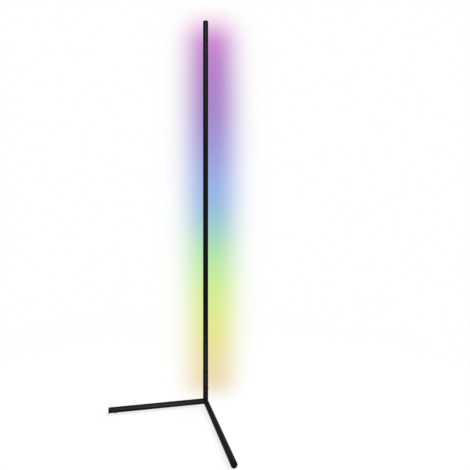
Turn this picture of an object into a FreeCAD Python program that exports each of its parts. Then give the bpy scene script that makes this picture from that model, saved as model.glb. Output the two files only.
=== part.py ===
import FreeCAD, Part
import math
import os

# Corner floor lamp: a slim round light bar that stands where two legs meet at a right angle.
# The strip of lights looks backwards, into the corner of a room, and colours its walls.
#
# Frame: millimetres, +Z up, the front is -Y, and the light leaves towards +Y.
# The origin is on the floor under the axis of the bar, in the middle of the foot pad there.

# ------------------------------------------------------------------ driving sizes: the lamp
lamp_height = 1400.0        # floor to the top of the bar
joint_height = 120.0        # floor to the seam where the bar stands on the base
leg_reach = 350.0           # axis of the bar to the tip of each leg
leg_turn = 45.0             # degrees between straight ahead and each leg

# ------------------------------------------------------------------ driving sizes: the base
tube_d = 19.0               # outside of the upright and of both legs
tube_wall = 1.5
corner_arm = 18.0           # middle of the corner casting to each of its shoulders
spigot_len = 22.0           # how far each spigot of the casting goes into its tube
foot_boss_d = 12.0          # flat boss under the corner
pad_d = 8.0                 # rubber foot pads
pad_height = 1.0            # floor to the lowest line of the tubes
pad_inset = 24.0            # tip of a leg to the middle of its pad
tip_cap_t = 3.0             # flange of the plug that closes a leg
tip_cap_edge = 0.5          # its softened rim
tip_plug_len = 12.0
tip_fin_t = 2.0             # crossed fins of the plug
seam_ring_h = 3.0           # dull ring between the bar and the upright
seam_ring_proud = 0.15      # how far it stands out of the upright

# ------------------------------------------------------------------ driving sizes: the bar
bar_d = 18.5
bar_wall = 1.2
shelf_y = -1.0              # the face of the shelf that the strip is stuck to
shelf_t = 1.2
mouth_w = 11.0              # gap between the lips that hold the diffuser
lip_t = 1.0
lip_depth = 2.3             # how far each lip reaches in from the outside
port_wall = 0.9             # wall round the screw port
port_rib_t = 1.0            # rib from the screw port to the back of the bar
diffuser_t = 1.0
diffuser_hook = 0.6         # how far each hook goes behind its lip
diffuser_hook_h = 0.8
cap_t = 1.5                 # plate that closes the top of the bar
cap_edge = 0.4              # its softened rim
cap_tongue_len = 8.0
cap_tongue_w = 8.0
cap_tongue_t = 3.0
plug_depth = 20.0           # how far the joint plug goes down into the upright
plug_tongue_len = 25.0      # how far its tongues go up into the bar

# ------------------------------------------------------------------ driving sizes: the lights
strip_w = 8.0
strip_t = 0.3
tape_t = 0.2
strip_start = 9.0           # seam to the lower end of the strip
strip_stop = 4.0            # upper end of the strip to the tongue of the cap
light_pitch = 33.3          # 30 lights to the metre
light_side = 5.0
light_h = 1.6

# ------------------------------------------------------------------ driving sizes: the inlet
inlet_housing_w = 9.0
inlet_housing_h = 10.0
inlet_housing_len = 9.0
inlet_barrel_d = 8.0
inlet_bore_d = 5.7
inlet_bore_depth = 9.5
inlet_pin_d = 2.1
inlet_pin_root_d = 2.8
inlet_pin_sunk = 1.5        # mouth of the inlet to the tip of its pin
inlet_seat_d = 12.0         # the saddle between the round tube and the nut
inlet_seat_t = 0.8          # its thickness at the middle
inlet_nut_d = 11.0
inlet_nut_t = 1.8
inlet_pin_edge = 0.3        # softened rim of its tip
inlet_spring_w = 2.0
inlet_spring_t = 0.3
inlet_spring_set = 0.5      # how far outside the bore the leaf stands
inlet_spring_bow = 0.75     # how far it bows inwards
inlet_lug_len = 1.6
inlet_lug_w = 1.6
inlet_lug_t = 0.5

# ------------------------------------------------------------------ driving sizes: the controller
sled_wall = 1.4             # half-round sled that carries the controller board
slot_wall = 0.85            # what the slots for the board leave of the sled outside them
board_t = 1.0
board_y = -0.8              # middle of the board
chips = [                   # width, height and thickness of each chip, from the lowest up
    (5.0, 5.0, 0.9),
    (3.0, 4.4, 1.4),
    (7.0, 4.0, 1.0),
]
lead_d = 1.2                # insulated lead
lead_sides = 6              # a lead is drawn with this many flats
lead_room = 0.45            # free space round the three leads in the joint plug
lead_rise = 0.4             # how far the leads stand off the boards inside the plug
lead_on_board = 5.0         # length of a lead that lies on its solder pad
lead_drop = 6.0             # foot of the joint plug to the bend where the leads enter its slot
lead_climb = 2.0            # seam down to the bend where they leave it
bend_share = 0.45           # share of a straight run that its bend may use up

# ------------------------------------------------------------------ driving sizes: the screws
set_screw_d = 4.0           # headless screws that lock the tubes
set_screw_len = 4.0
set_screw_sunk = 0.5        # crest of the tube to the face of the screw
tapper_d = 2.5              # long tapping screws in the port of the bar
tapper_head_d = 4.6
tapper_head_t = 1.5
tapper_len = 12.0
hex_share = 0.5             # width of the key hole as a share of the head
key_depth = 1.1             # depth of the key hole in a tapping screw
set_key_depth = 2.0         # and in a set screw

# ------------------------------------------------------------------ named clearances
slide_gap = 0.15            # round pieces that slide into a tube
snap_gap = 0.1              # diffuser in its lips
board_gap = 0.1             # board in the slots of its sled
hole_gap = 0.1              # screws and barrels through their holes
stack_gap = 0.3             # pieces that stand one above another in a tube
ballast_gap = 0.2           # steel rods in the bore of the legs
lead_gap = 0.1              # one lead to the next
spill = 1.0                 # how far a cutting tool runs past the face it cuts

# ------------------------------------------------------------------ places worked out from these
UP = FreeCAD.Vector(0, 0, 1)
BACK = FreeCAD.Vector(0, 1, 0)
turn = math.radians(leg_turn)
LEFT_LEG = FreeCAD.Vector(-math.sin(turn), -math.cos(turn), 0)
RIGHT_LEG = FreeCAD.Vector(math.sin(turn), -math.cos(turn), 0)

tube_r = tube_d / 2
tube_bore_r = tube_r - tube_wall
spigot_r = tube_bore_r - slide_gap
ballast_r = tube_bore_r - ballast_gap           # steel rod that makes each leg heavy
seam_ring_r = tube_r + seam_ring_proud
axis_z = pad_height + tube_r                    # height of the axes of the legs
corner = FreeCAD.Vector(0, 0, axis_z)
spigot_tip = corner_arm + spigot_len            # corner to the end of each spigot
spigot_screw = corner_arm + spigot_len / 2      # corner to the screw in each spigot

bar_r = bar_d / 2
bar_bore_r = bar_r - bar_wall
mouth_y = math.sqrt(bar_r ** 2 - (mouth_w / 2) ** 2)
lip_in_y = mouth_y - lip_depth
port_r = tapper_d / 2 + port_wall
port_sunk = port_wall / 3                       # the port is drawn into the shelf by this much
port_y = shelf_y - shelf_t - port_r + port_sunk
bar_top = lamp_height - cap_t

strip_z0 = joint_height + strip_start
strip_z1 = bar_top - cap_tongue_len - strip_stop
strip_face_y = shelf_y + tape_t + strip_t

ring_z0 = joint_height - seam_ring_h
plug_z0 = joint_height - plug_depth
inlet_z = axis_z + spigot_tip + stack_gap + inlet_housing_h / 2
inlet_shoulder_y = math.sqrt(tube_bore_r ** 2 - (inlet_housing_w / 2) ** 2)
inlet_back_y = inlet_shoulder_y - inlet_housing_len
inlet_seat_y = tube_r + inlet_seat_t
inlet_mouth_y = inlet_seat_y + inlet_nut_t + stack_gap
inlet_floor_y = inlet_mouth_y - inlet_bore_depth

sled_z0 = inlet_z + inlet_housing_h / 2 + stack_gap
sled_z1 = plug_z0 - tapper_head_t - stack_gap
sled_r = tube_bore_r - slide_gap
board_half = sled_r - slot_wall - board_gap     # half the width of the board
board_front_y = board_y + board_t / 2
board_back_y = board_y - board_t / 2
lead_low_y = board_front_y + lead_d / 2         # a lead that lies on the controller board
lead_high_y = strip_face_y + lead_d / 2         # a lead that lies on the strip
lead_way_y = max(lead_low_y, lead_high_y) + lead_rise
lead_pitch = lead_d + lead_gap


# ------------------------------------------------------------------ helpers: sections and solids
def disc(radius, x=0.0, y=0.0):
    """A round flat face in the XY plane."""
    edge = Part.makeCircle(radius, FreeCAD.Vector(x, y, 0), UP)
    return Part.Face(Part.Wire(edge))


def slab(x0, x1, y0, y1):
    """A square-cornered flat face in the XY plane."""
    return Part.makePlane(x1 - x0, y1 - y0, FreeCAD.Vector(x0, y0, 0), UP)


def ring(outer, inner):
    return disc(outer).cut(disc(inner))


def rise(section, z0, z1):
    """Extrude a flat section from one height to another, as one solid."""
    prisms = [face.translated(UP * z0).extrude(UP * (z1 - z0)) for face in section.Faces]
    return one(prisms[0].multiFuse(prisms[1:])) if len(prisms) > 1 else prisms[0]


def block(x0, x1, y0, y1, z0, z1):
    return Part.makeBox(x1 - x0, y1 - y0, z1 - z0, FreeCAD.Vector(x0, y0, z0))


def rod(radius, start, stop, direction, origin=FreeCAD.Vector(0, 0, 0)):
    """A cylinder from one distance to another along a direction."""
    return Part.makeCylinder(radius, stop - start, origin + direction * start, direction)


def cone(radius0, radius1, start, stop, direction, origin):
    return Part.makeCone(radius0, radius1, stop - start, origin + direction * start, direction)


def one(shape):
    """The only solid of a shape, free of needless edges."""
    clean = shape.removeSplitter()
    return clean.Solids[0] if len(clean.Solids) == 1 else clean


# ------------------------------------------------------------------ helpers: screws
def hex_prism(width, start, stop, direction, origin):
    """A six-sided bar, for the key hole of a screw."""
    corners = []
    side = direction.cross(BACK)
    if side.Length < 0.5:
        side = direction.cross(UP)
    other = direction.cross(side)
    for k in range(7):
        angle = math.radians(60 * k)
        spread = side * math.cos(angle) + other * math.sin(angle)
        corners.append(origin + direction * start + spread * (width / math.sqrt(3)))
    face = Part.Face(Part.makePolygon(corners))
    return face.extrude(direction * (stop - start))


def screw(top, inward, shank_d, head_d, head_t, length):
    """A countersunk screw whose flat head is at top, and which points inward."""
    head = cone(head_d / 2, shank_d / 2, 0, head_t, inward, top)
    shank = rod(shank_d / 2, 0, length, inward, top)
    key = hex_prism(head_d * hex_share, 0, key_depth, inward, top)
    return one(head.fuse(shank).cut(key))


def screw_way(top, inward, shank_d, head_d, head_t, depth):
    """What is cut for a countersunk screw where its shank passes clear."""
    wide = head_d / 2 + hole_gap
    narrow = shank_d / 2 + hole_gap
    mouth = rod(wide, -tube_r, 0, inward, top)
    seat = cone(wide, narrow, 0, head_t, inward, top)
    return mouth.fuse(seat).fuse(rod(narrow, 0, depth, inward, top))


def set_screw(middle, outward):
    """A headless screw that crosses the wall of a tube and fills a hole in the piece inside it."""
    face = tube_r - set_screw_sunk
    body = rod(set_screw_d / 2, face - set_screw_len, face, outward, middle)
    key = hex_prism(set_screw_d * hex_share, face - set_key_depth, face + spill, outward, middle)
    return one(body.cut(key))


def set_screw_way(middle, outward):
    """The clear hole in the wall of the tube."""
    return rod(set_screw_d / 2 + hole_gap, 0, tube_r + spill, outward, middle)


def set_screw_thread(middle, outward):
    """The tapped hole, which the screw fills."""
    face = tube_r - set_screw_sunk
    return rod(set_screw_d / 2, face - set_screw_len, face + spill, outward, middle)


# ------------------------------------------------------------------ helpers: leads
def bend_radius(before, middle, after):
    """The widest arc that a turn between two straight runs has room for."""
    first = middle - before
    second = after - middle
    half_turn = first.getAngle(second) / 2
    return bend_share * min(first.Length, second.Length) / math.tan(half_turn)


def lead(points, name):
    """An insulated lead: straight runs joined by tangent arcs, one solid."""
    edges = []
    at = points[0]
    for before, middle, after in zip(points, points[1:], points[2:]):
        incoming = (middle - before).normalize()
        outgoing = (after - middle).normalize()
        half_turn = incoming.getAngle(outgoing) / 2
        radius = bend_radius(before, middle, after)
        reach = radius * math.tan(half_turn)
        start = middle - incoming * reach
        stop = middle + outgoing * reach
        to_centre = (outgoing - incoming).normalize()
        centre = middle + to_centre * (radius / math.cos(half_turn))
        crown = centre - to_centre * radius
        edges.append(Part.LineSegment(at, start).toShape())
        edges.append(Part.Arc(start, crown, stop).toShape())
        print(f"{name}: bend radius {radius:.1f} mm")
        at = stop
    edges.append(Part.LineSegment(at, points[-1]).toShape())
    path = Part.Wire(edges)
    first_run = (points[1] - points[0]).normalize()
    across = first_run.cross(FreeCAD.Vector(1, 0, 0)).normalize()
    corners = []
    for k in range(lead_sides + 1):
        turned = FreeCAD.Rotation(first_run, 360 / lead_sides * (k + 0.5)).multVec(across)
        corners.append(points[0] + turned * (lead_d / 2))
    outline = Part.makePolygon(corners)
    solid = path.makePipeShell([outline], True, False)
    expected = Part.Face(outline).Area * path.Length
    print(f"{name}: length {path.Length:.1f} mm, volume {solid.Volume:.2f} of {expected:.2f}")
    return solid


# ------------------------------------------------------------------ the corner of the base
def half_space(point, normal, size):
    """A block that fills the side of a plane which the normal points to."""
    cube = Part.makeBox(size, size, size, FreeCAD.Vector(-size / 2, -size / 2, 0))
    cube.Placement = FreeCAD.Placement(point, FreeCAD.Rotation(UP, normal))
    return cube


def mitred_arm(direction, others):
    """One round arm of the corner, cut along the planes halfway to the other two arms."""
    arm = rod(tube_r, -2 * tube_r, corner_arm, direction, corner)
    for other in others:
        arm = arm.common(half_space(corner, direction - other, 4 * (corner_arm + tube_d)))
    return arm


def corner_casting():
    """Three mitred arms, a spigot on each, and the flat boss over the middle pad."""
    arms = (UP, LEFT_LEG, RIGHT_LEG)
    body = rod(foot_boss_d / 2, pad_height, axis_z, UP)
    for direction in arms:
        body = body.fuse(mitred_arm(direction, [d for d in arms if d is not direction]))
    for direction in arms:
        body = body.fuse(rod(spigot_r, corner_arm / 2, spigot_tip, direction, corner))
    for middle, outward in spigot_screws():
        body = body.cut(set_screw_thread(middle, outward))
    return one(body)


def spigot_screws():
    """The middle of each spigot and the way out to its screw: back, and below."""
    return [
        (corner + UP * spigot_screw, BACK),
        (corner + LEFT_LEG * spigot_screw, UP * -1),
        (corner + RIGHT_LEG * spigot_screw, UP * -1),
    ]


def plug_screw_middle():
    return FreeCAD.Vector(0, 0, joint_height - plug_depth / 2)


# ------------------------------------------------------------------ tubes, ballast, caps and pads
def upright_tube():
    """The short upright that carries the bar, pierced at the back for two screws and the inlet."""
    tube = rise(ring(tube_r, tube_bore_r), axis_z + corner_arm, ring_z0)
    middle, outward = spigot_screws()[0]
    tube = tube.cut(set_screw_way(middle, outward))
    tube = tube.cut(set_screw_way(plug_screw_middle(), BACK))
    barrel_way = rod(inlet_barrel_d / 2 + hole_gap, 0, 2 * tube_r, BACK, FreeCAD.Vector(0, 0, inlet_z))
    return one(tube.cut(barrel_way))


def seam_ring():
    """The dull ring that keeps the end of the bar off the coated rim of the upright."""
    return rise(ring(seam_ring_r, tube_bore_r), ring_z0, joint_height)


def leg_tube(direction, screw_place):
    """A leg: a round tube with the hole for its screw underneath."""
    solid = rod(tube_r, corner_arm, leg_reach - tip_cap_t, direction, corner)
    solid = solid.cut(rod(tube_bore_r, 0, leg_reach, direction, corner))
    return one(solid.cut(set_screw_way(*screw_place)))


def ballast_rod(direction):
    start = spigot_tip + stack_gap
    stop = leg_reach - tip_cap_t - tip_plug_len - stack_gap
    return rod(ballast_r, start, stop, direction, corner)


def tip_cap(direction):
    """The plug that closes a leg: a flange with a softened rim, and two crossed fins in the bore."""
    flange_start = leg_reach - tip_cap_t
    flange = rod(tube_r, flange_start, leg_reach - tip_cap_edge, direction, corner)
    rim = cone(tube_r, tube_r - tip_cap_edge, leg_reach - tip_cap_edge, leg_reach, direction, corner)
    plug = rod(tube_bore_r - slide_gap, flange_start - tip_plug_len, flange_start, direction, corner)
    level = direction.cross(UP)
    fins = fin(direction, UP, level).fuse(fin(direction, level, UP))
    return one(flange.fuse(rim).fuse(plug.common(fins)))


def fin(direction, across, through):
    """A flat fin as long as the plug, as wide as the tube and as thick as tip_fin_t."""
    start = corner + direction * (leg_reach - tip_cap_t - tip_plug_len)
    near = start - across * tube_r - through * (tip_fin_t / 2)
    far = near + across * tube_d
    thick = through * tip_fin_t
    face = Part.Face(Part.makePolygon([near, far, far + thick, near + thick, near]))
    return face.extrude(direction * (tip_plug_len + tip_cap_t / 2))


def leg_pad(direction):
    """A rubber pad near the tip of a leg, hollowed on top to sit under the round of the tube."""
    middle = direction * (leg_reach - pad_inset)
    pad = rod(pad_d / 2, 0, axis_z, UP, middle)
    return one(pad.cut(rod(tube_r, 0, 2 * leg_reach, direction, corner)))


def middle_pad():
    return rod(pad_d / 2, 0, pad_height, UP)


# ------------------------------------------------------------------ the light bar
def bar_section():
    """The extrusion: a round shell open at the back, a shelf, two lips and a screw port."""
    section = ring(bar_r, bar_bore_r)
    shelf = slab(-bar_r, bar_r, shelf_y - shelf_t, shelf_y).common(disc(bar_r))
    port_rib = slab(-port_rib_t / 2, port_rib_t / 2, -bar_bore_r - bar_wall / 2, port_y)
    section = section.fuse(shelf).fuse(disc(port_r, 0, port_y)).fuse(port_rib)
    section = section.cut(slab(-mouth_w / 2, mouth_w / 2, 0, bar_r))
    for side in (-1, 1):
        inner = side * mouth_w / 2
        outer = side * (mouth_w / 2 + lip_t)
        lip = slab(min(inner, outer), max(inner, outer), lip_in_y, bar_r).common(disc(bar_r))
        section = section.fuse(lip)
    return section.cut(disc(tapper_d / 2, 0, port_y))


def bar_profile():
    return one(rise(bar_section(), joint_height, bar_top))


def diffuser_section():
    """The opal cover: a round crown that completes the bar, and two legs with hooks."""
    half = mouth_w / 2 - snap_gap
    hook_y1 = lip_in_y - snap_gap
    hook_y0 = hook_y1 - diffuser_hook_h
    section = ring(bar_r, bar_r - diffuser_t).common(slab(-half, half, 0, bar_r))
    for side in (-1, 1):
        inner = side * (half - diffuser_t)
        outer = side * half
        hook = side * (half + diffuser_hook)
        leg = slab(min(inner, outer), max(inner, outer), hook_y0, bar_r).common(disc(bar_r))
        section = section.fuse(leg)
        section = section.fuse(slab(min(inner, hook), max(inner, hook), hook_y0, hook_y1))
    return section


def diffuser():
    return one(rise(diffuser_section(), joint_height + snap_gap, bar_top - snap_gap))


def top_cap():
    """The plate that closes the bar, with a tongue in the channel and a hole for its screw."""
    plate = rod(bar_r, bar_top, lamp_height - cap_edge, UP)
    rim_foot = FreeCAD.Vector(0, 0, lamp_height - cap_edge)
    plate = plate.fuse(cone(bar_r, bar_r - cap_edge, 0, cap_edge, UP, rim_foot))
    tongue = block(
        -cap_tongue_w / 2, cap_tongue_w / 2,
        shelf_y + slide_gap, shelf_y + slide_gap + cap_tongue_t,
        bar_top - cap_tongue_len, bar_top,
    )
    top = FreeCAD.Vector(0, port_y, lamp_height)
    way = screw_way(top, UP * -1, tapper_d, tapper_head_d, tapper_head_t, cap_t + spill)
    return one(plate.fuse(tongue).cut(way))


def top_cap_screw():
    top = FreeCAD.Vector(0, port_y, lamp_height)
    return screw(top, UP * -1, tapper_d, tapper_head_d, tapper_head_t, tapper_len)


def plug_tongues():
    """Two tongues, one on each side of the screw port, which line the bar up with its plug."""
    near = port_r + slide_gap
    room = disc(bar_bore_r - slide_gap)
    top_y = shelf_y - shelf_t - slide_gap
    tongues = []
    for side in (-1, 1):
        inner = side * near
        outer = side * bar_r
        section = slab(min(inner, outer), max(inner, outer), -bar_r, top_y).common(room)
        tongues.append(rise(section, joint_height, joint_height + plug_tongue_len))
    return tongues


def lead_way():
    """The slot through the joint plug that the three leads pass through, side by side."""
    half = lead_d / 2 + lead_room
    section = slab(-lead_pitch, lead_pitch, lead_way_y - half, lead_way_y + half)
    for side in (-1, 1):
        section = section.fuse(disc(half, side * lead_pitch, lead_way_y))
    return rise(section, plug_z0 - spill, joint_height + plug_tongue_len + spill)


def joint_plug():
    """The turned plug that joins the bar to the upright, with a way for the leads."""
    body = rod(spigot_r, plug_z0, joint_height, UP)
    for tongue in plug_tongues():
        body = body.fuse(tongue)
    body = body.cut(lead_way())
    body = body.cut(set_screw_thread(plug_screw_middle(), BACK))
    port = FreeCAD.Vector(0, port_y, 0)
    shank_way = rod(tapper_d / 2 + hole_gap, plug_z0 - spill, joint_height + spill, UP, port)
    return one(body.cut(shank_way))


def plug_long_screw():
    """The screw that draws the plug up into the bar, with a round head under the plug."""
    start = FreeCAD.Vector(0, port_y, plug_z0)
    head = rod(tapper_head_d / 2, -tapper_head_t, 0, UP, start)
    shank = rod(tapper_d / 2, 0, plug_depth + tapper_len, UP, start)
    key = hex_prism(tapper_head_d * hex_share, -tapper_head_t - spill, key_depth - tapper_head_t, UP, start)
    return one(head.fuse(shank).cut(key))


# ------------------------------------------------------------------ the strip of lights
def light_heights():
    """The heights of the lights, evenly spread and centred on the strip."""
    room = strip_z1 - strip_z0 - light_side - 2 * lead_on_board
    gaps = int(room // light_pitch)
    first = (strip_z0 + strip_z1) / 2 - gaps * light_pitch / 2
    return [first + k * light_pitch for k in range(gaps + 1)]


def strip_tape():
    return block(-strip_w / 2, strip_w / 2, shelf_y, shelf_y + tape_t, strip_z0, strip_z1)


def strip_board():
    return block(-strip_w / 2, strip_w / 2, shelf_y + tape_t, strip_face_y, strip_z0, strip_z1)


def light_package(z):
    """One light: a square package on the face of the strip."""
    half = light_side / 2
    return block(-half, half, strip_face_y, strip_face_y + light_h, z - half, z + half)


def lights():
    return Part.makeCompound([light_package(z) for z in light_heights()])


# ------------------------------------------------------------------ the inlet at the back
def inlet_point(y=0.0):
    return FreeCAD.Vector(0, y, inlet_z)


def inlet_spring_x():
    """The middle of the flat part of the side contact, to the left of the pin."""
    return -inlet_bore_d / 2 - inlet_spring_set


def inlet_spring_leaf():
    """The springy side contact: a bent leaf along the bore, and its solder lug behind."""
    outer = -inlet_spring_x() - inlet_spring_t / 2
    lug_y = inlet_back_y - inlet_lug_len
    middle_y = (inlet_floor_y + inlet_mouth_y) / 2
    tip_y = inlet_mouth_y - inlet_pin_sunk
    bow_y = (middle_y + tip_y) / 2
    line = [(lug_y, 0), (middle_y, 0), (bow_y, inlet_spring_bow), (tip_y, inlet_spring_bow / 2)]
    near = [FreeCAD.Vector(-outer + x, y, 0) for y, x in line]
    far = [p + FreeCAD.Vector(-inlet_spring_t, 0, 0) for p in near]
    outline = near + far[::-1] + near[:1]
    face = Part.Face(Part.makePolygon(outline))
    low = inlet_z - inlet_spring_w / 2
    return face.translated(FreeCAD.Vector(0, 0, low)).extrude(UP * inlet_spring_w)


def inlet_spring_slot():
    """The slot in the housing that the leaf lies in."""
    return block(
        inlet_spring_x() - inlet_spring_t / 2, -inlet_bore_d / 2 + inlet_spring_t,
        inlet_back_y, inlet_mouth_y - inlet_pin_sunk + inlet_spring_t,
        inlet_z - inlet_spring_w / 2, inlet_z + inlet_spring_w / 2,
    )


def inlet_body():
    """The moulded inlet: a square housing inside the upright and a barrel out through its wall."""
    housing = block(
        -inlet_housing_w / 2, inlet_housing_w / 2,
        inlet_back_y, inlet_shoulder_y,
        inlet_z - inlet_housing_h / 2, inlet_z + inlet_housing_h / 2,
    )
    barrel = rod(inlet_barrel_d / 2, inlet_shoulder_y, inlet_mouth_y, BACK, inlet_point())
    body = housing.fuse(barrel)
    body = body.cut(rod(inlet_bore_d / 2, inlet_floor_y, inlet_mouth_y + spill, BACK, inlet_point()))
    body = body.cut(rod(inlet_pin_root_d / 2, inlet_back_y - spill, inlet_floor_y, BACK, inlet_point()))
    return one(body.cut(inlet_spring_slot()))


def inlet_pin():
    """The centre pin, with a thicker root set in the housing and a flat solder lug behind."""
    tip_y = inlet_mouth_y - inlet_pin_sunk
    pin = rod(inlet_pin_d / 2, inlet_floor_y, tip_y, BACK, inlet_point())
    rim = [e for e in pin.Edges if e.Closed and e.CenterOfMass.y > tip_y - inlet_pin_edge]
    pin = pin.makeChamfer(inlet_pin_edge, rim)
    root = rod(inlet_pin_root_d / 2, inlet_back_y, inlet_floor_y, BACK, inlet_point())
    lug = block(
        -inlet_lug_w / 2, inlet_lug_w / 2,
        inlet_back_y - inlet_lug_len, inlet_back_y,
        inlet_z - inlet_lug_t / 2, inlet_z + inlet_lug_t / 2,
    )
    return one(pin.fuse(root).fuse(lug))


def inlet_seat():
    """The saddle that turns the round of the upright into a flat seat for the nut."""
    seat = rod(inlet_seat_d / 2, 0, inlet_seat_y, BACK, inlet_point())
    seat = seat.cut(rod(inlet_barrel_d / 2 + hole_gap, 0, inlet_seat_y + spill, BACK, inlet_point()))
    return one(seat.cut(rod(tube_r, 0, joint_height, UP)))


def inlet_nut():
    """A six-sided nut on the barrel."""
    across = inlet_nut_d * math.sqrt(3) / 2
    nut = hex_prism(across, inlet_seat_y, inlet_seat_y + inlet_nut_t, BACK, inlet_point())
    return one(nut.cut(rod(inlet_barrel_d / 2, 0, 2 * tube_d, BACK, inlet_point())))


# ------------------------------------------------------------------ the controller inside the upright
def sled():
    """A half-round sled that holds the board by its edges, notched below for the inlet's leads."""
    section = ring(sled_r, sled_r - sled_wall)
    section = section.common(slab(-sled_r, sled_r, -sled_r, board_front_y + board_t))
    half = board_half + board_gap
    section = section.cut(slab(-half, half, board_back_y - board_gap, board_front_y + board_gap))
    carrier = rise(section, sled_z0, sled_z1)
    notch = block(
        inlet_spring_x() - lead_d, lead_d,
        -tube_r, board_back_y,
        sled_z0 - spill, sled_z0 + 2 * lead_on_board,
    )
    return one(carrier.cut(notch))


def board():
    return block(-board_half, board_half, board_back_y, board_front_y, sled_z0, sled_z1)


def board_chips():
    """The chips on the front of the board, spread evenly along it between the solder pads."""
    z0 = sled_z0 + lead_on_board
    z1 = sled_z1 - lead_on_board
    step = (z1 - z0) / len(chips)
    parts = []
    for k, (width, height, thick) in enumerate(chips):
        middle = z0 + (k + 0.5) * step
        parts.append(block(
            -width / 2, width / 2,
            board_front_y, board_front_y + thick,
            middle - height / 2, middle + height / 2,
        ))
    return Part.makeCompound(parts)


def strip_leads():
    """Three leads from the controller, up through the joint plug, to the strip."""
    solids = []
    for k in (-1, 0, 1):
        x = k * lead_pitch
        points = [
            FreeCAD.Vector(x, lead_low_y, sled_z1 - lead_on_board),
            FreeCAD.Vector(x, lead_low_y, plug_z0),
            FreeCAD.Vector(x, lead_way_y, plug_z0 + lead_drop),
            FreeCAD.Vector(x, lead_way_y, joint_height - lead_climb),
            FreeCAD.Vector(x, lead_high_y, strip_z0 - lead_d),
            FreeCAD.Vector(x, lead_high_y, strip_z0 + lead_on_board),
        ]
        solids.append(lead(points, f"strip lead {k}"))
    return Part.makeCompound(solids)


def inlet_leads():
    """Two leads from the lugs of the inlet up to the back of the board."""
    back_y = board_back_y - lead_d / 2
    lug_y = inlet_back_y - inlet_lug_len / 2
    bend_z = sled_z0 + 1.5 * lead_d
    starts = [(0.0, inlet_z + inlet_lug_t / 2), (inlet_spring_x(), inlet_z + inlet_spring_w / 2)]
    solids = []
    for k, (x, z) in enumerate(starts):
        points = [
            FreeCAD.Vector(x, lug_y, z),
            FreeCAD.Vector(x, lug_y, bend_z),
            FreeCAD.Vector(x, back_y, bend_z + lead_on_board),
            FreeCAD.Vector(x, back_y, bend_z + 2 * lead_on_board),
        ]
        solids.append(lead(points, f"inlet lead {k}"))
    return Part.makeCompound(solids)


# ------------------------------------------------------------------ all the nodes
def nodes():
    upright_screw, left_screw, right_screw = spigot_screws()
    return {
        "corner_casting": corner_casting(),
        "upright_tube": upright_tube(),
        "seam_ring": seam_ring(),
        "left_leg_tube": leg_tube(LEFT_LEG, left_screw),
        "right_leg_tube": leg_tube(RIGHT_LEG, right_screw),
        "left_leg_ballast": ballast_rod(LEFT_LEG),
        "right_leg_ballast": ballast_rod(RIGHT_LEG),
        "left_tip_cap": tip_cap(LEFT_LEG),
        "right_tip_cap": tip_cap(RIGHT_LEG),
        "middle_foot_pad": middle_pad(),
        "left_foot_pad": leg_pad(LEFT_LEG),
        "right_foot_pad": leg_pad(RIGHT_LEG),
        "leg_screws": Part.makeCompound([set_screw(*left_screw), set_screw(*right_screw)]),
        "upright_screw": set_screw(*upright_screw),
        "bar_clamp_screw": set_screw(plug_screw_middle(), BACK),
        "joint_plug": joint_plug(),
        "joint_plug_screw": plug_long_screw(),
        "bar_profile": bar_profile(),
        "diffuser": diffuser(),
        "top_cap": top_cap(),
        "top_cap_screw": top_cap_screw(),
        "strip_tape": strip_tape(),
        "strip_board": strip_board(),
        "strip_lights": lights(),
        "strip_leads": strip_leads(),
        "controller_sled": sled(),
        "controller_board": board(),
        "controller_chips": board_chips(),
        "inlet_leads": inlet_leads(),
        "inlet_body": inlet_body(),
        "inlet_pin": inlet_pin(),
        "inlet_spring": inlet_spring_leaf(),
        "inlet_seat": inlet_seat(),
        "inlet_nut": inlet_nut(),
    }


os.makedirs("parts", exist_ok=True)
for name, shape in nodes().items():
    shape.exportStep(f"parts/{name}.step")
    size = shape.BoundBox
    print(f"{name}: {len(shape.Solids)} solid(s), valid {shape.isValid()}, volume {shape.Volume:.0f} mm3, "
          f"z {size.ZMin:.1f} to {size.ZMax:.1f}")
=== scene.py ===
# %% [markdown]
# # A corner floor lamp, dressed
#
# The lamp is a slim black light bar that stands where two legs meet at a right angle. A strip of
# coloured lights behind an opal cover looks backwards, into the corner of a room.
#
# The imported model already has every rigid piece at its real size, so this lesson is about finish:
# a powder coat, an anodised extrusion, moulded plastic, rubber, plated metal and a lit diffuser.
# It also stages the lamp on white, with the soft wash that its light leaves behind it painted on a
# card.
#
# Units are metres. +Z is up, the front of the lamp is -Y and its light leaves towards +Y.

# %% Load the imported lamp and measure it
import math

import bmesh
import bpy
from mathutils import Matrix, Vector


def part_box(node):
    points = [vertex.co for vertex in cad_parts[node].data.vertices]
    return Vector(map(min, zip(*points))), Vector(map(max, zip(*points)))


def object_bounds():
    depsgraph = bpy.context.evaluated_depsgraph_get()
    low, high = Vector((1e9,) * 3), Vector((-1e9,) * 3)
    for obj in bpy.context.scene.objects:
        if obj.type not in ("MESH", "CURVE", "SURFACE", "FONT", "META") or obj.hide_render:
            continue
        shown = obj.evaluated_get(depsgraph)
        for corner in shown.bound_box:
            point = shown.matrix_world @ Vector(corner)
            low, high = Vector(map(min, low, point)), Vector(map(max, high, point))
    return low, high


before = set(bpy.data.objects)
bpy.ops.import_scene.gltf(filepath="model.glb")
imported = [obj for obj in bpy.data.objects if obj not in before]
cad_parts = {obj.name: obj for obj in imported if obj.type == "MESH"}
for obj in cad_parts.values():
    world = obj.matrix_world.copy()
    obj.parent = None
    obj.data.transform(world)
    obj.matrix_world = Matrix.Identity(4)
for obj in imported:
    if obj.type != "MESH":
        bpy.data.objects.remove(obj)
cad_low, cad_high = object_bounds()
print(f"{len(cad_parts)} nodes, {cad_high.z - cad_low.z:.3f} m tall")

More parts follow.
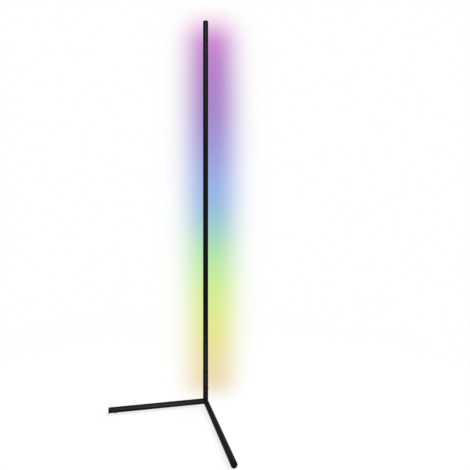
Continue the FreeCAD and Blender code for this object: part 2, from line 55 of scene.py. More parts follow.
# %% [markdown]
# ## The camera
#
# The photograph was taken from the front right of the lamp, at about half its height. Four points
# fix the view: the top of the bar, the corner of the base and the two leg tips. They ask for a
# camera whose axis lies left of the middle of the frame, as in a cropped photograph. So the lens is
# shifted sideways and the camera isn't turned: turned, it would miss the corner and a leg tip by
# almost three pixels. It looks down by one degree, and a trace of roll brings the last point into
# place.

# %% Describe the view
FRAME_WIDTH = 470                 # pixels, the photograph is square
AXIS_PIXEL = 194                  # column of the photograph that the camera points at
LENS_PIXELS = 341.07              # focal length, in pixels of the photograph

CAMERA_PLACE = Vector((0.6678, -1.0608, 0.6498))
CAMERA_AZIMUTH = math.radians(34.142)
CAMERA_PITCH = math.radians(-1.099)
CAMERA_ROLL = math.radians(-0.035)

FORWARD = Vector((-math.sin(CAMERA_AZIMUTH), math.cos(CAMERA_AZIMUTH), 0))
RIGHT = Vector((math.cos(CAMERA_AZIMUTH), math.sin(CAMERA_AZIMUTH), 0))
UP = Vector((0, 0, 1))
POLE_DISTANCE = -CAMERA_PLACE.dot(FORWARD)
print(f"the camera stands {POLE_DISTANCE:.3f} m in front of the pole")

# %% Place the camera
SENSOR_WIDTH = 36.0               # mm

lens = bpy.data.cameras.new("camera")
lens.sensor_width = SENSOR_WIDTH
lens.lens = SENSOR_WIDTH * LENS_PIXELS / FRAME_WIDTH
lens.shift_x = (FRAME_WIDTH / 2 - AXIS_PIXEL) / FRAME_WIDTH
camera = bpy.data.objects.new("camera", lens)
camera.location = CAMERA_PLACE
sight = FORWARD * math.cos(CAMERA_PITCH) + UP * math.sin(CAMERA_PITCH)
camera.rotation_euler = sight.to_track_quat("-Z", "Y").to_euler()
camera.rotation_euler.rotate_axis("Z", CAMERA_ROLL)
bpy.context.scene.collection.objects.link(camera)
bpy.context.scene.camera = camera
bpy.context.scene.view_settings.view_transform = "Standard"
print(f"lens {lens.lens:.2f} mm, shift {lens.shift_x:.4f}")

# %% [markdown]
# ## Small helpers for shader nodes
#
# A material is a tree of nodes. Setting it up takes the same three steps over and over: add a node,
# set its properties, and fill or link its inputs. One helper does all three, so that a material
# reads like a recipe. The next helpers are named for what they do, and more follow where they are
# first needed.

# %% Helper: add one node
def node(tree, kind, inputs=None, **settings):
    """Add a node. A value in inputs fills a socket, and another node's socket is linked to it."""
    made = tree.nodes.new(kind)
    for name, value in settings.items():
        setattr(made, name, value)
    for name, value in (inputs or {}).items():
        if isinstance(value, bpy.types.NodeSocket):
            tree.links.new(value, made.inputs[name])
        else:
            made.inputs[name].default_value = value
    return made


print("helper ready: one node")

# %% Helpers: arithmetic, place and length
def math_node(tree, operation, first, second=0.0, clamp=False):
    inputs = {0: first, 1: second}
    return node(tree, "ShaderNodeMath", inputs, operation=operation, use_clamp=clamp).outputs[0]


def place_of(tree):
    """The place on the object, measured from the object's own origin."""
    return tree.nodes.new("ShaderNodeTexCoord").outputs["Object"]


def length_of(tree, vector):
    return node(tree, "ShaderNodeVectorMath", {0: vector}, operation="LENGTH").outputs["Value"]


print("helpers ready: arithmetic, place and length")

# %% Helpers: materials
def new_material(name):
    """A material without nodes, and its tree."""
    material = bpy.data.materials.new(name)
    material.use_nodes = True
    material.node_tree.nodes.clear()
    return material, material.node_tree


def principled(tree, inputs):
    return node(tree, "ShaderNodeBsdfPrincipled", inputs).outputs["BSDF"]


def show(tree, surface):
    """Link a shader to the material's output."""
    node(tree, "ShaderNodeOutputMaterial", {"Surface": surface})


print("helpers ready: materials")

# %% [markdown]
# ## The floor
#
# The lamp stands on plain white. More light would whiten a floor too, but it would wash the black
# lamp out. So Light Path mixes in an emission of strength 1, which is white, for the rays of the
# camera, of mirrors and of glass. A share of plain diffuse shader stays in the mix, and it is that
# share which darkens under the legs and keeps their soft shadow. The disc fades to clear at its
# rim, so no horizon shows against the white world.

# %% Colour the floor
WHITE = (1, 1, 1, 1)
FLOOR_COLOUR = (0.98, 0.98, 0.98, 1)
FLOOR_WHITE = 0.75                # share of the floor that is plain white to the camera
FLOOR_RADIUS = 1.7
FLOOR_SOLID = 0.9                 # the disc starts to fade at this distance from the lamp
FLOOR_CLEAR = FLOOR_RADIUS * 0.98   # and is clear from here on, just inside its rim


def white_rays(tree):
    """1 for the rays that should meet a white background, and 0 for the rays that carry light."""
    rays = tree.nodes.new("ShaderNodeLightPath").outputs
    shown = math_node(tree, "ADD", rays["Is Camera Ray"], rays["Is Glossy Ray"])
    return math_node(tree, "ADD", shown, rays["Is Transmission Ray"], clamp=True)


def floor_material():
    material, tree = new_material("floor_white")
    inputs = {"Base Color": FLOOR_COLOUR, "Roughness": 1.0, "Specular IOR Level": 0.0}
    matt = principled(tree, inputs)
    glow = node(tree, "ShaderNodeEmission", {"Color": WHITE, "Strength": 1.0})
    share = math_node(tree, "MULTIPLY", white_rays(tree), FLOOR_WHITE)
    lit = node(tree, "ShaderNodeMixShader", {0: share, 1: matt, 2: glow.outputs["Emission"]})
    radius = length_of(tree, place_of(tree))
    inputs = {"Value": radius, "From Min": FLOOR_SOLID, "From Max": FLOOR_CLEAR}
    fade = node(tree, "ShaderNodeMapRange", inputs, interpolation_type="SMOOTHERSTEP")
    clear = tree.nodes.new("ShaderNodeBsdfTransparent")
    inputs = {0: fade.outputs["Result"], 1: lit.outputs["Shader"], 2: clear.outputs["BSDF"]}
    show(tree, node(tree, "ShaderNodeMixShader", inputs).outputs["Shader"])
    print(f"{material.name}: {len(tree.nodes)} nodes")
    return material


FLOOR_FINISH = floor_material()

# %% Make the floor disc
FLOOR_SIDES = 96


def object_from(shape, name):
    """Turn a bmesh into a linked object."""
    mesh = bpy.data.meshes.new(name)
    shape.to_mesh(mesh)
    shape.free()
    made = bpy.data.objects.new(name, mesh)
    bpy.context.scene.collection.objects.link(made)
    return made


disc = bmesh.new()
bmesh.ops.create_circle(disc, cap_ends=True, radius=FLOOR_RADIUS, segments=FLOOR_SIDES)
floor = object_from(disc, "floor")
floor.data.materials.append(FLOOR_FINISH)
print(f"floor disc {2 * FLOOR_RADIUS:.1f} m across, {FLOOR_SIDES} sides")

# %% [markdown]
# ## The world
#
# The world is the room round the lamp. One strength for all rays would leave either the background
# grey or the lamp washed out. So it is white to the camera and in mirrors, and a modest grey to
# everything else, where it only fills the shadows.

# %% Make the world
WORLD_FILL = 0.32


def make_world():
    world = bpy.data.worlds.new("studio")
    world.use_nodes = True
    tree = world.node_tree
    tree.nodes.clear()
    seen = node(tree, "ShaderNodeBackground", {"Color": WHITE, "Strength": 1.0})
    fill = node(tree, "ShaderNodeBackground", {"Color": WHITE, "Strength": WORLD_FILL})
    inputs = {0: white_rays(tree), 1: fill.outputs["Background"], 2: seen.outputs["Background"]}
    mixed = node(tree, "ShaderNodeMixShader", inputs)
    node(tree, "ShaderNodeOutputWorld", {"Surface": mixed.outputs["Shader"]})
    return world


bpy.context.scene.world = make_world()
print(f"the world fills the shadows at a strength of {WORLD_FILL}")

# %% [markdown]
# ## Three softboxes and a sky light
#
# The softboxes draw the soft line of light down the middle of the black tubes. In the photograph
# that line is strong near the top, faint half way up and clear again near the base. An upright tube
# mirrors things at the slope at which the camera looks at it. So its top mirrors a box high above
# the camera, its middle a tall weak one, and its foot the floor just before it, where a small low
# box lies between the legs. The high and the low box are only mirrored and light nothing else, so
# the floor keeps its shadow. No box is seen by the camera.
#
# A broad sky light, high behind on the right, sets the short soft shadow on the near left side of
# the legs. It is a sun lamp, because the light of one falls evenly on the whole floor. It is left
# out of mirror reflections, because a round tube would catch it as a hard bright rim.

# %% Hang the softboxes
def lamp_object(light, place, aim):
    made = bpy.data.objects.new(light.name, light)
    made.location = place
    made.rotation_euler = (aim - place).to_track_quat("-Z", "Y").to_euler()
    bpy.context.scene.collection.objects.link(made)
    return made


def softbox(name, place, aim, width, height, power, only_mirrored=False):
    light = bpy.data.lights.new(name, "AREA")
    light.shape = "RECTANGLE"
    light.size = width
    light.size_y = height
    light.energy = power
    box = lamp_object(light, place, aim)
    box.visible_camera = False
    box.visible_diffuse = not only_mirrored
    print(f"{name}: {power:.1f} W at {place.z:.2f} m, {width:.2f} by {height:.2f} m")


softbox("tall_softbox", place=UP * 1.35 - FORWARD * 2.1 + RIGHT * 0.45, aim=UP * 0.9,
        width=0.7, height=2.9, power=30.0)
softbox("high_softbox", place=UP * 2.45 - FORWARD * 2.1 + RIGHT * 0.05, aim=UP * 1.1,
        width=0.5, height=0.9, power=43.0, only_mirrored=True)
softbox("low_softbox", place=UP * 0.012 - FORWARD * 0.30 - RIGHT * 0.04, aim=UP * 0.4,
        width=0.14, height=0.30, power=1.9, only_mirrored=True)

# %% Hang the sky light
SKY_STRENGTH = 2.7
SKY_SPREAD = math.radians(50)
SKY_PLACE = UP * 1.9 + FORWARD * 1.35 + RIGHT * 1.35

sky = bpy.data.lights.new("sky_light", "SUN")
sky.energy = SKY_STRENGTH
sky.angle = SKY_SPREAD
lamp_object(sky, SKY_PLACE, aim=Vector((0, 0, 0))).visible_glossy = False
print(f"sky light {SKY_STRENGTH} from {SKY_PLACE.z:.1f} m up")

# %% [markdown]
# ## The colours of the light
#
# From the top down the strip shows orchid, violet, blue, sky, mint, lime, straw and peach. Two
# finishes need them, the diffuser itself and the band of painted light behind the lamp, so they are
# made once, as a node group: an effect with named inputs and outputs that several materials share.
# The height goes in, as a share of the bar, and the colour comes out. Each light could have a colour
# of its own, but a smooth ramp is enough, because they fade into each other behind the cover.

# %% Helpers: node groups
def new_group(name, inputs, outputs):
    """An empty node group and its input and output nodes."""
    tree = bpy.data.node_groups.new(name, "ShaderNodeTree")
    for label, default in inputs.items():
        socket = tree.interface.new_socket(label, in_out="INPUT", socket_type="NodeSocketFloat")
        socket.default_value = default
    for label, kind in outputs.items():
        tree.interface.new_socket(label, in_out="OUTPUT", socket_type=kind)
    return tree, tree.nodes.new("NodeGroupInput"), tree.nodes.new("NodeGroupOutput")


def close_group(tree, leave, results):
    """Link the results to the group's outputs and say what was made."""
    for label, value in results.items():
        tree.links.new(value, leave.inputs[label])
    print(f"group {tree.name}: {len(tree.nodes)} nodes")
    return tree


print("helpers ready: node groups")

# %% Group: the colours from the foot to the top
RAINBOW = {                       # share of the bar's height: colour
    0.02: (0.84, 0.69, 0.54),
    0.17: (0.84, 0.77, 0.28),
    0.30: (0.66, 0.89, 0.27),
    0.42: (0.39, 0.75, 0.45),
    0.50: (0.31, 0.54, 0.74),
    0.62: (0.33, 0.39, 0.81),
    0.74: (0.38, 0.25, 0.60),
    0.88: (0.45, 0.21, 0.58),
    0.98: (0.70, 0.27, 0.66),
}


def rainbow_group():
    outputs = {"Colour": "NodeSocketColor"}
    tree, entry, leave = new_group("light_colours", {"Share": 0.5}, outputs)
    ramp = node(tree, "ShaderNodeValToRGB", {"Fac": entry.outputs["Share"]})
    stops = ramp.color_ramp.elements
    for place, colour in RAINBOW.items():
        stops.new(place).color = (*colour, 1)
    # A new ramp comes with a stop at each end. They go once the others are there.
    stops.remove(stops[0])
    stops.remove(stops[-1])
    ramp.color_ramp.interpolation = "B_SPLINE"
    return close_group(tree, leave, {"Colour": ramp.outputs["Color"]})


LIGHT_COLOURS = rainbow_group()

# %% [markdown]
# ## The band of painted light behind the lamp
#
# In its corner the lamp washes two walls with colour. The photograph shows that wash as one tall
# soft band behind the bar and no walls. Real walls would catch the light too, but they would hide
# the lamp from behind. A clear card that faces the camera stands for them. It mixes the clear
# shader with an emission in the lamp's colours, which fades across by a bell curve, and up by a
# soft step at each end. Near both ends the band is drawn in a little on its right, as the real wash
# is. The card is part of the stage, its back is clear, and it lights nothing.

# %% Stand the card behind the bar
CARD_REACH = 1.0                  # half the width and half the height of the card
GLOW_BEHIND = 0.02                # pole to the card, away from the camera
GLOW_ASIDE = 0.022                # middle of the band to the right of the pole, at the pole

# A size at the pole grows by this much on the card, which is a little farther from the camera.
CARD_SCALE = (POLE_DISTANCE + GLOW_BEHIND) / POLE_DISTANCE


def glow_card():
    """An upright card. Its own X runs across the view and its own Y runs up."""
    sheet = bmesh.new()
    bmesh.ops.create_grid(sheet, x_segments=1, y_segments=1, size=CARD_REACH)
    made = object_from(sheet, "glow_card")
    turn = Matrix((RIGHT, UP, -FORWARD)).transposed().to_4x4()
    middle = RIGHT * GLOW_ASIDE + UP * CAMERA_PLACE.z
    place = CAMERA_PLACE + (middle - CAMERA_PLACE) * CARD_SCALE
    made.matrix_world = Matrix.Translation(place) @ turn
    return made


card = glow_card()
card.visible_diffuse = False
card.visible_glossy = False
card.visible_shadow = False
print(f"glow card {GLOW_BEHIND:.2f} m behind the pole, scale {CARD_SCALE:.3f}")

# %% Helpers: parts of a vector, soft steps and a group in use
def split(tree, vector):
    return node(tree, "ShaderNodeSeparateXYZ", {0: vector}).outputs


def soft_step(tree, value, edge, width):
    """0 well below the edge, 1 well above it, and a half at it. A negative width turns it round."""
    inputs = {"Value": value, "From Min": edge - width, "From Max": edge + width}
    step = node(tree, "ShaderNodeMapRange", inputs, interpolation_type="SMOOTHSTEP")
    return step.outputs["Result"]


def use_group(tree, group, inputs):
    return node(tree, "ShaderNodeGroup", inputs, node_tree=group).outputs


print("helpers ready: parts of a vector, soft steps and a group in use")

# %% Helpers: the shape of the band
GLOW_SPREAD = 0.076               # half width of the bell curve, at the pole
GLOW_NARROWER = 0.0055            # what the half width loses near both ends, on the right
GLOW_END_POWER = 6.0              # how closely that loss keeps to the ends
GLOW_STEEPNESS = 2.4              # 2 is the common bell curve, and more is flatter on top
GLOW_FOOT = 0.041                 # heights at which the band is half as strong, at the pole
GLOW_FOOT_SOFTNESS = 0.060
GLOW_TOP = 1.391
GLOW_TOP_SOFTNESS = 0.082


def bell(tree, across):
    """1 in the middle of the band, fading to both sides as e to the minus half of a power."""
    power = math_node(tree, "POWER", math_node(tree, "ABSOLUTE", across), GLOW_STEEPNESS)
    return math_node(tree, "EXPONENT", math_node(tree, "MULTIPLY", power, -0.5))


def end_loss(tree, share):
    """What the half width loses at this share of the bar's height."""
    to_end = math_node(tree, "MAXIMUM", share, math_node(tree, "SUBTRACT", 1.0, share))
    closeness = math_node(tree, "POWER", to_end, GLOW_END_POWER)
    return math_node(tree, "MULTIPLY", closeness, GLOW_NARROWER)


print(f"the band is {2 * GLOW_SPREAD:.3f} m wide, from {GLOW_FOOT:.3f} to {GLOW_TOP:.3f} m")

# %% Paint the lamp's light on the card
def glow_material():
    material, tree = new_material("painted_light_band")
    parts = split(tree, place_of(tree))
    height = math_node(tree, "DIVIDE", parts["Y"], CARD_SCALE)
    height = math_node(tree, "ADD", height, CAMERA_PLACE.z)
    share = math_node(tree, "DIVIDE", height, cad_high.z, clamp=True)
    loss = end_loss(tree, share)
    aside = math_node(tree, "ADD", math_node(tree, "DIVIDE", parts["X"], CARD_SCALE), loss)
    spread = math_node(tree, "SUBTRACT", GLOW_SPREAD, loss)
    strength = bell(tree, math_node(tree, "DIVIDE", aside, spread))
    foot = soft_step(tree, height, edge=GLOW_FOOT, width=GLOW_FOOT_SOFTNESS)
    top = soft_step(tree, height, edge=GLOW_TOP, width=-GLOW_TOP_SOFTNESS)
    strength = math_node(tree, "MULTIPLY", strength, math_node(tree, "MULTIPLY", foot, top))
    back = tree.nodes.new("ShaderNodeNewGeometry").outputs["Backfacing"]
    shown = math_node(tree, "MULTIPLY", strength, math_node(tree, "SUBTRACT", 1.0, back))
    colour = use_group(tree, LIGHT_COLOURS, {"Share": share})["Colour"]
    # Painted light: the wash of the lamp's light on the walls is painted on the card as this
    # emission.
    wash = node(tree, "ShaderNodeEmission", {"Color": colour, "Strength": 1.0})
    clear = tree.nodes.new("ShaderNodeBsdfTransparent")
    inputs = {0: shown, 1: clear.outputs["BSDF"], 2: wash.outputs["Emission"]}
    show(tree, node(tree, "ShaderNodeMixShader", inputs).outputs["Shader"])
    print(f"{material.name}: {len(tree.nodes)} nodes")
    return material


card.data.materials.append(glow_material())

# %% [markdown]
# ## Shared effect: grain
#
# A coat, a moulding and a casting all have a skin that isn't quite smooth. A picture of grain could
# be laid on them, but it would need seams. Noise on the object's own coordinates has none. A fine
# noise is taken by Bump as a height, and a slow one mottles the colour and the roughness a little.
# Sizes are given in metres and turned into noise scales inside the group.

# %% Group: grain
def noise(tree, vector, scale, detail=2.0, roughness=0.5):
    inputs = {"Vector": vector, "Scale": scale, "Detail": detail, "Roughness": roughness}
    return node(tree, "ShaderNodeTexNoise", inputs).outputs["Fac"]


def grain_group():
    inputs = {"Size": 0.0008, "Mottle size": 0.05}
    outputs = {"Height": "NodeSocketFloat", "Mottle": "NodeSocketFloat"}
    tree, entry, leave = new_group("grain", inputs, outputs)
    place = place_of(tree)
    fine_scale = math_node(tree, "DIVIDE", 1.0, entry.outputs["Size"])
    slow_scale = math_node(tree, "DIVIDE", 1.0, entry.outputs["Mottle size"])
    fine = noise(tree, place, fine_scale, detail=3.0)
    slow = noise(tree, place, slow_scale, detail=4.0, roughness=0.6)
    return close_group(tree, leave, {"Height": fine, "Mottle": slow})


GRAIN = grain_group()

# %% [markdown]
# ## Shared effect: drawn lines
#
# A die leaves lengthwise lines on an extrusion or a drawn bar. They could be painted along an
# unwrapped surface, but noise that is squeezed across the piece and stretched along it needs no
# unwrapping. Upright pieces are stretched along Z. The bars in the legs lie flat and point away
# from the corner, so for them the way along is the distance from the lamp's axis, and "Lying" goes
# from 0 to 1.

# %% Group: drawn lines
def blend_values(tree, factor, low, high):
    """A value that goes from low to high with the factor."""
    inputs = {"Value": factor, "To Min": low, "To Max": high}
    return node(tree, "ShaderNodeMapRange", inputs).outputs["Result"]


def drawn_lines_group():
    inputs = {"Width": 0.0006, "Length": 0.25, "Lying": 0.0}
    tree, entry, leave = new_group("drawn_lines", inputs, {"Height": "NodeSocketFloat"})
    width, length, lying = (entry.outputs[name] for name in inputs)
    parts = split(tree, place_of(tree))
    level_place = {0: parts["X"], 1: parts["Y"]}
    flat = node(tree, "ShaderNodeCombineXYZ", level_place).outputs["Vector"]
    along = blend_values(tree, lying, low=parts["Z"], high=length_of(tree, flat))
    lines_in_metre = math_node(tree, "DIVIDE", 1.0, width)
    inputs = {0: flat, "Scale": lines_in_metre}
    squeezed = node(tree, "ShaderNodeVectorMath", inputs, operation="SCALE").outputs["Vector"]
    across = split(tree, squeezed)
    up = math_node(tree, "DIVIDE", parts["Z"], width)
    second = blend_values(tree, lying, low=across["Y"], high=up)
    stretched = math_node(tree, "DIVIDE", along, length)
    inputs = {0: across["X"], 1: second, 2: stretched}
    vector = node(tree, "ShaderNodeCombineXYZ", inputs).outputs["Vector"]
    lines = noise(tree, vector, scale=1.0, detail=3.0, roughness=0.7)
    return close_group(tree, leave, {"Height": lines})


DRAWN_LINES = drawn_lines_group()

# %% [markdown]
# ## Shared effect: rubbed edges
#
# Corners are handled most and wear first. Wear could be painted on by hand, edge by edge, but the
# Bevel node finds the edges: it gives the normal that a rounded edge would have, and where that
# leans away from the true normal there is an edge. Noise breaks the wear up. The rounded normal
# comes out too, so that no edge is knife sharp in a close view.

# %% Group: rubbed edges
WEAR_GAIN = 4.0                   # how fast the wear sets in as the rounded normal leans away
WEAR_SCALE = 600.0                # specks of wear in a metre of edge


def rubbed_edges_group():
    inputs = {"Radius": 0.0006, "Amount": 0.5}
    outputs = {"Mask": "NodeSocketFloat", "Normal": "NodeSocketVector"}
    tree, entry, leave = new_group("rubbed_edges", inputs, outputs)
    bevel = node(tree, "ShaderNodeBevel", {"Radius": entry.outputs["Radius"]}, samples=4)
    rounded = bevel.outputs["Normal"]
    true_normal = tree.nodes.new("ShaderNodeNewGeometry").outputs["Normal"]
    inputs = {0: rounded, 1: true_normal}
    alike = node(tree, "ShaderNodeVectorMath", inputs, operation="DOT_PRODUCT").outputs["Value"]
    lean = math_node(tree, "SUBTRACT", 1.0, alike)
    edge = math_node(tree, "MULTIPLY", lean, WEAR_GAIN, clamp=True)
    specks = noise(tree, place_of(tree), WEAR_SCALE, detail=4.0, roughness=0.7)
    worn = math_node(tree, "MULTIPLY", edge, soft_step(tree, specks, edge=0.5, width=0.12))
    mask = math_node(tree, "MULTIPLY", worn, entry.outputs["Amount"], clamp=True)
    return close_group(tree, leave, {"Mask": mask, "Normal": rounded})


RUBBED_EDGES = rubbed_edges_group()

# %% [markdown]
# ## Shared effect: settled dust
#
# Dust lies on faces that look up, in clumps. The true normal's Z says how far a face looks up, so
# dust needs no painting either, and noise breaks the cover into clumps. It is thin here, because
# the lamp in the photograph is new.

# %% Group: settled dust
DUST_SCALE = 220.0                # clumps of dust in a metre


def settled_dust_group():
    tree, entry, leave = new_group("settled_dust", {"Amount": 0.3}, {"Mask": "NodeSocketFloat"})
    facing = split(tree, tree.nodes.new("ShaderNodeNewGeometry").outputs["Normal"])["Z"]
    upward = soft_step(tree, facing, edge=0.8, width=0.2)
    clumps = noise(tree, place_of(tree), DUST_SCALE, detail=6.0, roughness=0.75)
    cover = soft_step(tree, clumps, edge=0.55, width=0.2)
    covered = math_node(tree, "MULTIPLY", upward, cover)
    mask = math_node(tree, "MULTIPLY", covered, entry.outputs["Amount"], clamp=True)
    return close_group(tree, leave, {"Mask": mask})


SETTLED_DUST = settled_dust_group()

# %% [markdown]
# ## Shared effect: small scratches
#
# An anodised bar that has been handled and wiped has a few hair lines. They could be cut into the
# mesh, but they are far too fine for that. The borders between Voronoi cells are long thin lines
# too. One noise bends them, and a second one keeps only a few.

# %% Group: small scratches
SCRATCH_WIDTH = 0.012             # share of a cell
BEND_SCALE = 90.0                 # bends in a metre
BEND_REACH = 0.01                 # metres that the first noise moves a line at most
KEPT_SCALE = 60.0                 # patches with scratches in a metre


def scratches_group():
    inputs = {"Size": 0.01, "Amount": 0.3}
    tree, entry, leave = new_group("small_scratches", inputs, {"Mask": "NodeSocketFloat"})
    place = place_of(tree)
    shift = math_node(tree, "MULTIPLY", noise(tree, place, BEND_SCALE), BEND_REACH)
    bent = node(tree, "ShaderNodeVectorMath", {0: place, 1: shift}, operation="ADD")
    cells_in_metre = math_node(tree, "DIVIDE", 1.0, entry.outputs["Size"])
    inputs = {"Vector": bent.outputs["Vector"], "Scale": cells_in_metre}
    cells = node(tree, "ShaderNodeTexVoronoi", inputs, feature="DISTANCE_TO_EDGE")
    thin = math_node(tree, "LESS_THAN", cells.outputs["Distance"], SCRATCH_WIDTH)
    few = soft_step(tree, noise(tree, place, KEPT_SCALE, detail=3.0), edge=0.62, width=0.05)
    lines = math_node(tree, "MULTIPLY", thin, few)
    mask = math_node(tree, "MULTIPLY", lines, entry.outputs["Amount"], clamp=True)
    return close_group(tree, leave, {"Mask": mask})


SCRATCHES = scratches_group()

# %% [markdown]
# ## Black powder coat
#
# Powder is sprayed on dry and baked, and it flows out into a skin with a fine pebble, called orange
# peel. The tubes and the casting have it. On the real lamp a tube is dark at its edges and shows
# one soft line of light down its middle. A plain coat mirrors a white room at its edges and would
# draw pale outlines there. So most of the shader is metallic with a near black colour, whose line
# of light is soft and broad, and a grey Specular Tint holds the reflection down at the edges.
#
# What is the same all over a finish is set on the shader's own sockets, and the shared effects feed
# only what changes over the surface. Each finish is kept by its name, which is also the name of the
# slot that it goes into at the end.

# %% Helpers: blended colours and bump
FIRST_COLOUR, SECOND_COLOUR = 6, 7   # a Mix node's inputs for its two colours
BLENDED_COLOUR = 2                   # and its output for their blend


def blend_colours(tree, factor, first, second):
    """A colour that goes from first to second with the factor."""
    inputs = {"Factor": factor, FIRST_COLOUR: first, SECOND_COLOUR: second}
    return node(tree, "ShaderNodeMix", inputs, data_type="RGBA").outputs[BLENDED_COLOUR]


def bump(tree, height, distance, strength, normal=None):
    inputs = {"Height": height, "Distance": distance, "Strength": strength}
    if normal is not None:
        inputs["Normal"] = normal
    return node(tree, "ShaderNodeBump", inputs).outputs["Normal"]


print("helpers ready: blended colours and bump")

# %% Helpers: keep a finish by its name
FINISHES = {}


def finish_name(material):
    """A material's name without the number that Blender adds where a name is taken."""
    return material.name.split(".")[0]


def keep_finish(material):
    FINISHES[finish_name(material)] = material
    print(f"finish {finish_name(material)}: {len(material.node_tree.nodes)} nodes")


print("helpers ready: finishes by name")

# %% Finish: black powder coat
DUST_DULLNESS = 0.5               # what full dust adds to the roughness


def black_powder_coat():
    dark, light = (0.0085, 0.0085, 0.0087, 1), (0.0109, 0.0109, 0.0111, 1)
    worn, dust_grey = (0.022, 0.022, 0.023, 1), (0.22, 0.21, 0.20, 1)
    material, tree = new_material("black_powder_coat")
    grain = use_group(tree, GRAIN, {"Size": 0.0007, "Mottle size": 0.06})
    edges = use_group(tree, RUBBED_EDGES, {"Radius": 0.0005, "Amount": 0.6})
    dust = use_group(tree, SETTLED_DUST, {"Amount": 0.03})
    coat = blend_colours(tree, grain["Mottle"], dark, light)
    rubbed = blend_colours(tree, edges["Mask"], coat, worn)
    dusty = blend_colours(tree, dust["Mask"], rubbed, dust_grey)
    clean_rough = blend_values(tree, grain["Mottle"], low=0.34, high=0.46)
    dulled = math_node(tree, "MULTIPLY", dust["Mask"], DUST_DULLNESS)
    rough = math_node(tree, "ADD", clean_rough, dulled)
    skin = bump(tree, grain["Height"], distance=0.00005, strength=0.4, normal=edges["Normal"])
    show(tree, principled(tree, {
        "Base Color": dusty, "Metallic": 0.7, "Roughness": rough, "Normal": skin,
        "Specular Tint": (0.6, 0.6, 0.6, 1), "Specular IOR Level": 0.03}))
    return material


keep_finish(black_powder_coat())

# %% [markdown]
# ## Black anodised aluminium
#
# The light bar is extruded: soft metal is pushed through a die, which leaves faint lines along its
# whole length. Anodising then dyes the skin without hiding them. So the bump here is the drawn
# lines, and the roughness follows the same lines a little. The dark mix is made as the coat's is,
# but blacker, smoother and with a darker tint at the edges: the bar stands upright before the white
# room, and still has the darkest edges of the lamp.

# %% Finish: black anodised extrusion
def black_anodised():
    dark, light = (0.0055, 0.0055, 0.0058, 1), (0.0072, 0.0072, 0.0076, 1)
    worn, scratched = (0.10, 0.10, 0.105, 1), (0.03, 0.03, 0.032, 1)
    material, tree = new_material("black_anodised")
    grain = use_group(tree, GRAIN, {"Size": 0.0004, "Mottle size": 0.12})
    lines = use_group(tree, DRAWN_LINES, {"Width": 0.0005, "Length": 0.30})
    edges = use_group(tree, RUBBED_EDGES, {"Radius": 0.0003, "Amount": 0.5})
    scratches = use_group(tree, SCRATCHES, {"Size": 0.03, "Amount": 0.25})
    dyed = blend_colours(tree, grain["Mottle"], dark, light)
    rubbed = blend_colours(tree, edges["Mask"], dyed, worn)
    marked = blend_colours(tree, scratches["Mask"], rubbed, scratched)
    rough = blend_values(tree, lines["Height"], low=0.26, high=0.38)
    skin = bump(tree, lines["Height"], distance=0.00004, strength=0.35, normal=edges["Normal"])
    show(tree, principled(tree, {
        "Base Color": marked, "Metallic": 0.85, "Roughness": rough, "Normal": skin,
        "Specular Tint": (0.4, 0.4, 0.4, 1), "Specular IOR Level": 0.03}))
    return material


keep_finish(black_anodised())

# %% [markdown]
# ## Black moulded plastic
#
# The cap on the bar, the dull ring at the seam, the plugs in the legs and the inlet are moulded.
# Their skin copies a sparked mould: a coarse grain, duller than the coat. It isn't metallic, so the
# colour alone makes it dark. That colour is deeper than the coat's, because the cap and the ring
# are the darkest spots of the lamp in the photograph.

# %% Finish: black plastic
def black_plastic():
    dark, light = (0.0030, 0.0030, 0.0032, 1), (0.0046, 0.0046, 0.0048, 1)
    worn, dust_grey = (0.03, 0.03, 0.03, 1), (0.2, 0.19, 0.18, 1)
    material, tree = new_material("black_plastic")
    grain = use_group(tree, GRAIN, {"Size": 0.0005, "Mottle size": 0.02})
    edges = use_group(tree, RUBBED_EDGES, {"Radius": 0.0003, "Amount": 0.4})
    dust = use_group(tree, SETTLED_DUST, {"Amount": 0.04})
    body = blend_colours(tree, grain["Mottle"], dark, light)
    rubbed = blend_colours(tree, edges["Mask"], body, worn)
    dusty = blend_colours(tree, dust["Mask"], rubbed, dust_grey)
    rough = blend_values(tree, grain["Height"], low=0.52, high=0.68)
    skin = bump(tree, grain["Height"], distance=0.00006, strength=0.6, normal=edges["Normal"])
    show(tree, principled(tree, {
        "Base Color": dusty, "Roughness": rough, "Normal": skin, "Specular IOR Level": 0.04}))
    return material


keep_finish(black_plastic())

# %% [markdown]
# ## Pad rubber
#
# Three small rubber pads keep the lamp off the floor. Rubber is duller than any other finish here,
# a little greyer, and it picks up dust, so its grain is coarse and its roughness is high. It has no
# rubbed edges, because rubber wears without turning bright.

# %% Finish: pad rubber
def pad_rubber():
    dark, light = (0.012, 0.012, 0.012, 1), (0.022, 0.022, 0.021, 1)
    dust_grey = (0.18, 0.17, 0.16, 1)
    material, tree = new_material("pad_rubber")
    grain = use_group(tree, GRAIN, {"Size": 0.0012, "Mottle size": 0.006})
    dust = use_group(tree, SETTLED_DUST, {"Amount": 0.3})
    body = blend_colours(tree, grain["Mottle"], dark, light)
    dusty = blend_colours(tree, dust["Mask"], body, dust_grey)
    rough = blend_values(tree, grain["Mottle"], low=0.78, high=0.92)
    skin = bump(tree, grain["Height"], distance=0.0001, strength=0.5)
    show(tree, principled(tree, {
        "Base Color": dusty, "Roughness": rough, "Normal": skin, "Specular IOR Level": 0.2}))
    return material


keep_finish(pad_rubber())

# %% [markdown]
# ## The rhythm of the strip
#
# The diffuser shows a soft spot over each light, and each light has a round well in its middle.
# Both patterns need the height of the lowest light and the distance from one light to the next.
# They could be typed in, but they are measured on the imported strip, so that they still fit if the
# strip changes.

# %% Measure the lights
def light_rhythm():
    """Height of the lowest light's middle, distance from light to light, and how many there are."""
    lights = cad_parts["strip_lights"]
    low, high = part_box("strip_lights")
    side = high.x - low.x
    heights = {round(corner.co.z, 4) for corner in lights.data.vertices}
    count = len(heights) // 2     # a light has corners at two heights
    return low.z + side / 2, (high.z - low.z - side) / (count - 1), count


